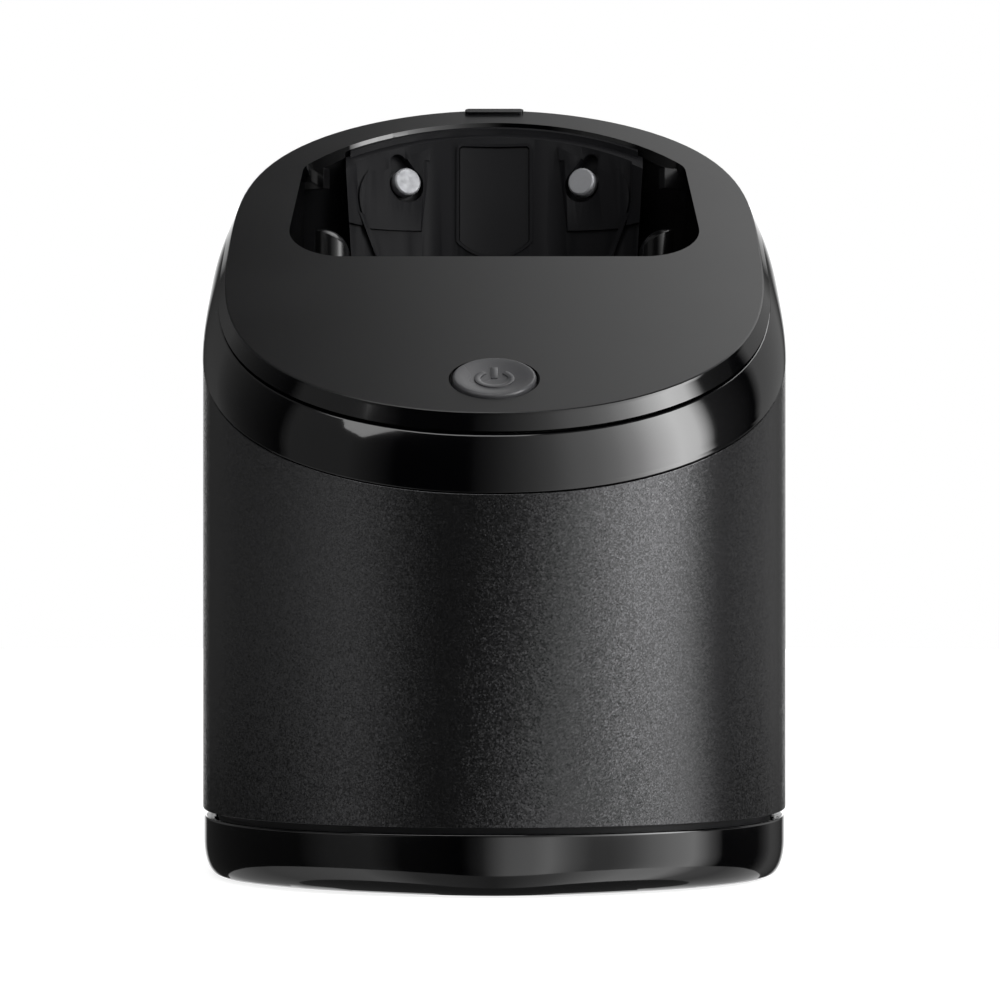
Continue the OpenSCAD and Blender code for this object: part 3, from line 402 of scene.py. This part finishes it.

# %% [markdown]
# ## Springs
#
# Each lift spring stands on the base and pushes the housing up, so it grows as the housing rises.
# The two small springs behind the release button follow it as it goes in. Each spring is shown by
# a piece of its own, put in place of its node where it stands. The lift springs are
# wound anew, by spinning a round wire about its axis, because the solid model's are coarse.

# %% Springs
LIFT_WIRE = 0.95 * MM
LIFT_TURNS = 9
STEPS_PER_TURN = 24
WIRE_SIDES = 10


def ends_on(spring, name):
    """Shows a spring in place of its node, fixed where it stands."""
    bpy.context.scene.collection.objects.link(spring)
    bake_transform(spring)
    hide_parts(name)


def wound_spring(name):
    """A round wire wound on a cylinder, as tall and as wide as the spring of the solid model."""
    low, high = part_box(name)
    middle = (low + high) / 2
    radius = (high.x - low.x - LIFT_WIRE) / 2
    steps = LIFT_TURNS * STEPS_PER_TURN
    work = bmesh.new()
    bmesh.ops.create_circle(work, cap_ends=True, segments=WIRE_SIDES, radius=LIFT_WIRE / 2)
    bmesh.ops.rotate(work, verts=work.verts, cent=(0, 0, 0),
                     matrix=Matrix.Rotation(math.pi / 2, 3, "X"))
    bmesh.ops.translate(work, verts=work.verts,
                        vec=(middle.x + radius, middle.y, low.z + LIFT_WIRE / 2))
    bmesh.ops.spin(work, geom=work.verts[:] + work.edges[:] + work.faces[:], cent=(middle.x, middle.y, 0),
                   axis=(0, 0, 1), dvec=(0, 0, (high.z - low.z - LIFT_WIRE) / steps),
                   angle=2 * math.pi * LIFT_TURNS, steps=steps)
    bmesh.ops.holes_fill(work, edges=[edge for edge in work.edges if edge.is_boundary], sides=0)
    bmesh.ops.recalc_face_normals(work, faces=work.faces)
    for face in work.faces:
        face.smooth = True
    mesh = bpy.data.meshes.new(name + "_wound")
    work.to_mesh(mesh)
    work.free()
    mesh.set_sharp_from_angle(angle=math.radians(50))
    mesh.materials.append(finish[slots[name]])
    ends_on(bpy.data.objects.new(name + "_wound", mesh), name)
    print(name, len(mesh.polygons), "faces, radius", round(radius / MM, 2), "mm")


wound_spring("lift_spring_left")
wound_spring("lift_spring_right")
pair = bpy.data.objects.new("release_springs_live", nodes["release_springs"].data.copy())
ends_on(pair, "release_springs")

# %% [markdown]
# ## Studio
#
# Gloss black shows the room, so the room is built first: a round tent wall whose brightness
# changes with direction, in four rows from the ceiling to below the table. A tall soft light
# stands to the right of the camera and fades out towards it, a weak one on the left and a strip
# behind on the right draw the sides, and a light straight behind shows the back. The rest of the
# wall is dark. The strengths were set by comparing renders with the photograph.

# %% Tent wall
TENT_RADIUS = 1.4
TENT_SIDES = 96
# Where the rows of the wall begin and end, in metres above the table.
CEILING = 1.5
HIGH_ROW = 0.22
LOW_ROW = -0.085
FOOT_ROW = -0.6
GROUND_ROW = -1.8


def stage_material(name, light, tree):
    """Finishes the material of a light: it shines on everything, and the camera sees through it."""
    seen = add(tree, "ShaderNodeLightPath").outputs["Is Camera Ray"]
    clear = add(tree, "ShaderNodeBsdfTransparent")
    mix = add(tree, "ShaderNodeMixShader", {0: seen, 1: light.outputs[0], 2: clear.outputs[0]})
    add(tree, "ShaderNodeOutputMaterial", {"Surface": mix.outputs[0]})


def tent_wall(name, low, high, glow):
    """A ring of cloth round the station. glow lists (degrees to the right of the camera, strength)."""
    work = bmesh.new()
    ends = bmesh.ops.create_vert(work, co=(0, -TENT_RADIUS, low))["vert"]
    ends += bmesh.ops.create_vert(work, co=(0, -TENT_RADIUS, high))["vert"]
    edge = bmesh.ops.contextual_create(work, geom=ends)["edges"]
    bmesh.ops.spin(work, geom=ends + edge, cent=(0, 0, 0), axis=(0, 0, 1), angle=2 * math.pi,
                   steps=TENT_SIDES, use_merge=True)
    mesh = bpy.data.meshes.new(name)
    work.to_mesh(mesh)
    work.free()
    material = bpy.data.materials.new(name)
    material.use_nodes = True
    tree = material.node_tree
    tree.nodes.clear()
    place = add(tree, "ShaderNodeTexCoord").outputs["Object"]
    part = add(tree, "ShaderNodeSeparateXYZ", {"Vector": place})
    ahead = add(tree, "ShaderNodeMath", {0: part.outputs[1]}, operation="MULTIPLY")
    ahead.inputs[1].default_value = -1.0
    turn = add(tree, "ShaderNodeMath", {0: part.outputs[0], 1: ahead.outputs[0]}, operation="ARCTAN2")
    share = add(tree, "ShaderNodeMapRange", {"Value": turn.outputs[0]}, From_Min=-math.pi, From_Max=math.pi)
    ramp = add(tree, "ShaderNodeValToRGB", {"Fac": share.outputs[0]})
    peak = max(strength for degrees, strength in glow)
    stops = ramp.color_ramp.elements
    for degrees, strength in glow:
        position = (degrees + 180) / 360
        stop = stops[0] if position == 0 else stops[-1] if position == 1 else stops.new(position)
        stop.color = [strength / peak] * 3 + [1.0]
    light = add(tree, "ShaderNodeEmission", {"Color": ramp.outputs[0]}, Strength=peak)
    stage_material(name, light, tree)
    mesh.materials.append(material)
    made = bpy.data.objects.new(name, mesh)
    bpy.context.scene.collection.objects.link(made)


tent_wall("tent_high", HIGH_ROW, CEILING, [
    (-180, 1.6), (-168, 1.4), (-158, 0.03), (-128, 0.13), (-100, 0.06), (-76, 0.01), (-70, 0.15),
    (-45, 0.15), (-28, 0.0), (-6, 0.0), (0, 0.1), (9, 0.32), (15, 0.5), (22, 0.84), (29, 1.05),
    (36, 1.45), (44, 2.4), (52, 4.2), (61, 5.8), (70, 5.0), (79, 0.1), (108, 0.0), (115, 0.33),
    (150, 0.2), (158, 0.03), (168, 1.4), (180, 1.6)])
tent_wall("tent_low", LOW_ROW, HIGH_ROW, [
    (-180, 1.6), (-168, 1.4), (-158, 0.03), (-123, 0.13), (-100, 0.2), (-76, 0.32), (-56, 0.5),
    (-45, 0.6), (-32, 0.36), (-18, 0.08), (-9, 0.0), (5, 0.0), (10, 0.05), (15, 0.38), (22, 0.95),
    (29, 1.55), (36, 2.1), (44, 2.7), (52, 2.6), (61, 2.1), (71, 1.2), (79, 0.3), (92, 0.3),
    (105, 0.45), (137, 0.28), (158, 0.05), (168, 1.4), (180, 1.6)])
tent_wall("tent_foot", FOOT_ROW, LOW_ROW, [
    (-180, 1.2), (-168, 1.0), (-158, 0.02), (-100, 0.02), (-70, 0.02), (-56, 0.11), (-39, 0.14),
    (-28, 0.02), (-8, 0.0), (-3, 0.1), (3, 0.8), (10, 0.95), (15, 1.25), (22, 0.7), (29, 0.35),
    (36, 0.36), (44, 0.57), (52, 1.0), (61, 1.35), (72, 1.6), (82, 0.5), (90, 0.01), (120, 0.01),
    (137, 0.12), (158, 0.02), (168, 1.0), (180, 1.2)])
tent_wall("tent_ground", GROUND_ROW, FOOT_ROW, [
    (-180, 1.1), (-165, 0.9), (-140, 0.35), (-100, 0.3), (-70, 0.5), (-45, 0.7), (-25, 0.25),
    (0, 0.15), (20, 0.5), (45, 1.4), (65, 1.5), (80, 0.5), (100, 0.3), (140, 0.5), (165, 0.9),
    (180, 1.1)])
print("tent walls set")

# %% [markdown]
# ## Softboxes and world
#
# One softbox behind and above lays a sheen on the sloping cap, stronger to the right. A smaller
# one in front and to the left reaches into the opening. The world is almost dark. Only the camera
# sees it white, because the gloss in the photograph mirrors a dark room.

# %% Softboxes and world
WORLD_GLOW = 0.1


def card(name, centre, size, strength, turn, fade):
    """A softbox: a glowing card. fade: start and end in shares of its width, light before it."""
    work = bmesh.new()
    bmesh.ops.create_grid(work, x_segments=1, y_segments=1, size=0.5)
    bmesh.ops.scale(work, verts=work.verts, vec=(size[0], size[1], 1))
    mesh = bpy.data.meshes.new(name)
    work.to_mesh(mesh)
    work.free()
    made = bpy.data.objects.new(name, mesh)
    bpy.context.scene.collection.objects.link(made)
    made.location = centre
    made.rotation_euler = [math.radians(a) for a in turn]
    material = bpy.data.materials.new(name)
    material.use_nodes = True
    tree = material.node_tree
    tree.nodes.clear()
    place = add(tree, "ShaderNodeTexCoord").outputs["Object"]
    split = add(tree, "ShaderNodeSeparateXYZ", {"Vector": place})
    ramp = add(tree, "ShaderNodeMapRange", {"Value": split.outputs[0]}, From_Min=fade[0] * size[0],
               From_Max=fade[1] * size[0], To_Min=fade[2] * strength, To_Max=strength)
    light = add(tree, "ShaderNodeEmission", {"Strength": ramp.outputs[0]}, Color=(1, 1, 1, 1))
    stage_material(name, light, tree)
    mesh.materials.append(material)


scene = bpy.context.scene
world = bpy.data.worlds.new("dark_studio_on_white")
world.use_nodes = True
scene.world = world
sky = world.node_tree
sky.nodes.clear()
camera_ray = add(sky, "ShaderNodeLightPath").outputs["Is Camera Ray"]
plain = add(sky, "ShaderNodeBackground", Color=(1, 1, 1, 1), Strength=WORLD_GLOW)
white = add(sky, "ShaderNodeBackground", Color=(1, 1, 1, 1), Strength=1.0)
both = add(sky, "ShaderNodeMixShader", {0: camera_ray, 1: plain.outputs[0], 2: white.outputs[0]})
add(sky, "ShaderNodeOutputWorld", {"Surface": both.outputs[0]})
card("softbox_overhead", (0.25, 0.95, 1.45), (1.7, 1.3), 1.7, (-35, 0, 0), fade=(-0.22, 0.1, 0.0))
card("softbox_front", (-0.45, -0.75, 1.35), (1.2, 0.7), 2.2, (30, 0, 0), fade=(-0.5, 0.3, 1.0))
print("lights set")

# %% [markdown]
# ## Floor
#
# The floor is pale paper that keeps the station's shadow. A little glow, for the camera only, lifts
# it to the white of the background. Reflections pass through it to the tent, and so does a view
# from below. It ends just inside the tent, and it lies a hair under the feet.

# %% Floor
FLOOR_MARGIN = 0.02
FLOOR_DROP = 0.02 * MM
PAPER = 0.7
PAPER_GLOW = 0.85

work = bmesh.new()
bmesh.ops.create_circle(work, cap_ends=True, segments=TENT_SIDES, radius=TENT_RADIUS - FLOOR_MARGIN)
bmesh.ops.translate(work, verts=work.verts, vec=(0, 0, -FLOOR_DROP))
floor_mesh = bpy.data.meshes.new("floor")
work.to_mesh(floor_mesh)
work.free()
floor = bpy.data.objects.new("floor", floor_mesh)
scene.collection.objects.link(floor)
floor_material = bpy.data.materials.new("white_floor")
floor_material.use_nodes = True
tree = floor_material.node_tree
tree.nodes.clear()
path = add(tree, "ShaderNodeLightPath")
paper = add(tree, "ShaderNodeBsdfDiffuse", Color=(PAPER, PAPER, PAPER, 1))
glow = add(tree, "ShaderNodeEmission", Color=(1, 1, 1, 1), Strength=PAPER_GLOW)
lifted = add(tree, "ShaderNodeAddShader", {0: paper.outputs[0], 1: glow.outputs[0]})
lit = add(tree, "ShaderNodeMixShader",
          {0: path.outputs["Is Camera Ray"], 1: paper.outputs[0], 2: lifted.outputs[0]})
open_floor = add(tree, "ShaderNodeBsdfTransparent")
mirrored = add(tree, "ShaderNodeMixShader",
               {0: path.outputs["Is Glossy Ray"], 1: lit.outputs[0], 2: open_floor.outputs[0]})
below = add(tree, "ShaderNodeNewGeometry").outputs["Backfacing"]
both = add(tree, "ShaderNodeMixShader", {0: below, 1: mirrored.outputs[0], 2: open_floor.outputs[0]})
add(tree, "ShaderNodeOutputMaterial", {"Surface": both.outputs[0]})
floor_mesh.materials.append(floor_material)
print("floor set")

# %% [markdown]
# ## Camera
#
# The photograph was taken level, a little under half the station's height, from 0.7 m with a long
# lens. The picture is shifted so that upright edges stay upright.

# %% Camera
CAMERA_BACK = 0.6935
CAMERA_UP = 0.0678

camera_data = bpy.data.cameras.new("camera")
camera_data.lens = 119.1
camera_data.sensor_width = 36.0
camera_data.shift_x = 0.0057
camera_data.shift_y = 0.040
camera_data.clip_start = 0.01
camera = bpy.data.objects.new("camera", camera_data)
camera.location = (0, -CAMERA_BACK, CAMERA_UP)
camera.rotation_euler = (math.radians(90), 0, 0)
scene.collection.objects.link(camera)
scene.camera = camera
scene.view_settings.view_transform = "Standard"
print("camera set")
